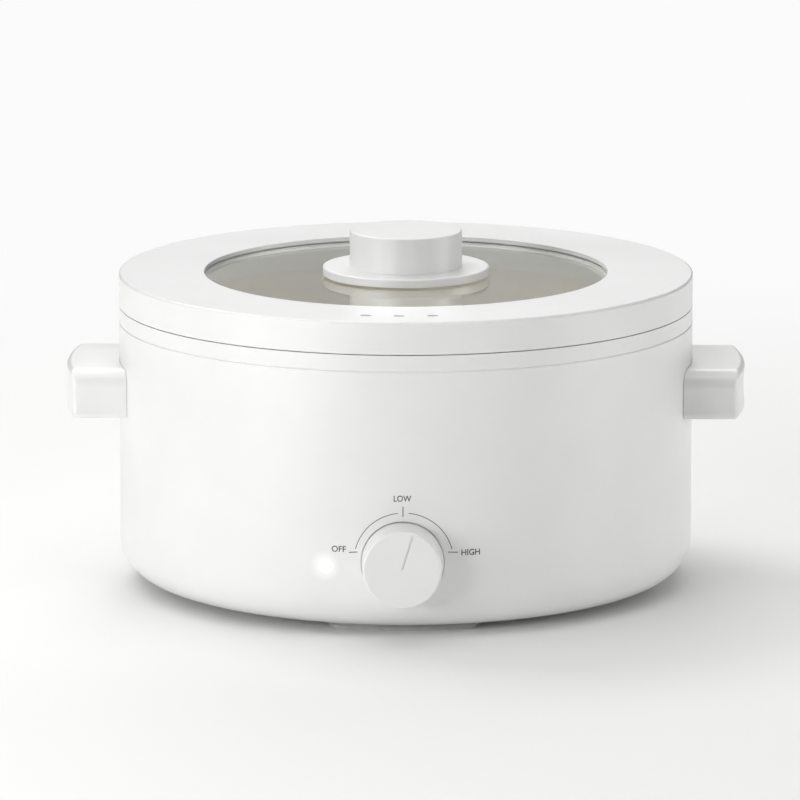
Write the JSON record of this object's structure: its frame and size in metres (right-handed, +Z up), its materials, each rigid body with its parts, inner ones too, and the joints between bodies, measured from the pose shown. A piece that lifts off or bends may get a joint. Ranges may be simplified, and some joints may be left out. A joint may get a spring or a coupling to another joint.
{
  "type": "electric hot pot",
  "caption": "Round electric hot pot with a lift-off glass-windowed lid, side handles and a front heat dial.",
  "frame": {"origin": "on the floor, under the pot's own vertical axis, midway between the four feet", "axes": "+Z up; the dial faces -Y; the handles lie along X"},
  "size_m": [0.355, 0.318, 0.185],
  "materials": {
    "white_plastic": "satin",
    "base_plastic": "satin",
    "cream_coating": "satin",
    "silicone": "matte",
    "foot_rubber": "matte",
    "window_glass": "polished",
    "alloy": "satin",
    "steel": "satin",
    "brass": "satin",
    "plated_brass": "satin",
    "ceramic": "matte",
    "dark_plastic": "satin",
    "lens_plastic": "gloss",
    "lamp_plastic": "gloss",
    "circuit_board": "satin",
    "wire_insulation": "satin",
    "scale_print": "matte"
  },
  "bodies": {
    "root": {"housing": "white_plastic", "collar": "white_plastic", "cooking_pot": "cream_coating", "pot_seal": "silicone", "heater_plate": "alloy", "heating_element": "steel", "terminal_bushes": "ceramic", "heat_shield": "alloy", "shield_screws": "steel", "pot_studs": "steel", "pot_nuts": "steel", "sensor_bulb": "brass", "bulb_clip": "steel", "thermal_fuse": "ceramic", "fuse_clip": "steel", "control_body": "dark_plastic", "control_nut": "steel", "indicator_lens": "lens_plastic", "indicator_lamp": "lamp_plastic", "lamp_board": "circuit_board", "inlet_housing": "dark_plastic", "inlet_blades": "plated_brass", "inlet_screws": "steel", "terminal_block": "ceramic", "wiring": "wire_insulation", "left_handle": "white_plastic", "right_handle": "white_plastic", "handle_screws": "steel", "base_cover": "base_plastic", "base_screws": "steel", "front_foot": "foot_rubber", "right_foot": "foot_rubber", "rear_foot": "foot_rubber", "left_foot": "foot_rubber"},
    "dial": {"dial_knob": "white_plastic", "control_spindle": "steel"},
    "lid": {"lid_ring": "white_plastic", "lid_base_plate": "white_plastic", "lid_screws": "steel", "window_glass": "window_glass", "glass_seal": "silicone", "knob_gasket": "silicone", "knob_flange": "white_plastic", "knob_grip": "white_plastic", "knob_insert": "brass", "knob_cushion": "silicone", "knob_washer": "steel", "knob_screw": "steel"}
  },
  "joints": [
    {"name": "lid_lift", "type": "slide", "parent": "root", "child": "lid", "axis": [0, 0, 1], "range_m": [0, 0.15]},
    {"name": "dial_turn", "type": "hinge", "parent": "root", "child": "dial", "pos_m": [0, -0.1482, 0.0404], "axis": [0, 1, 0], "range_deg": [-97, 63]}
  ]
}
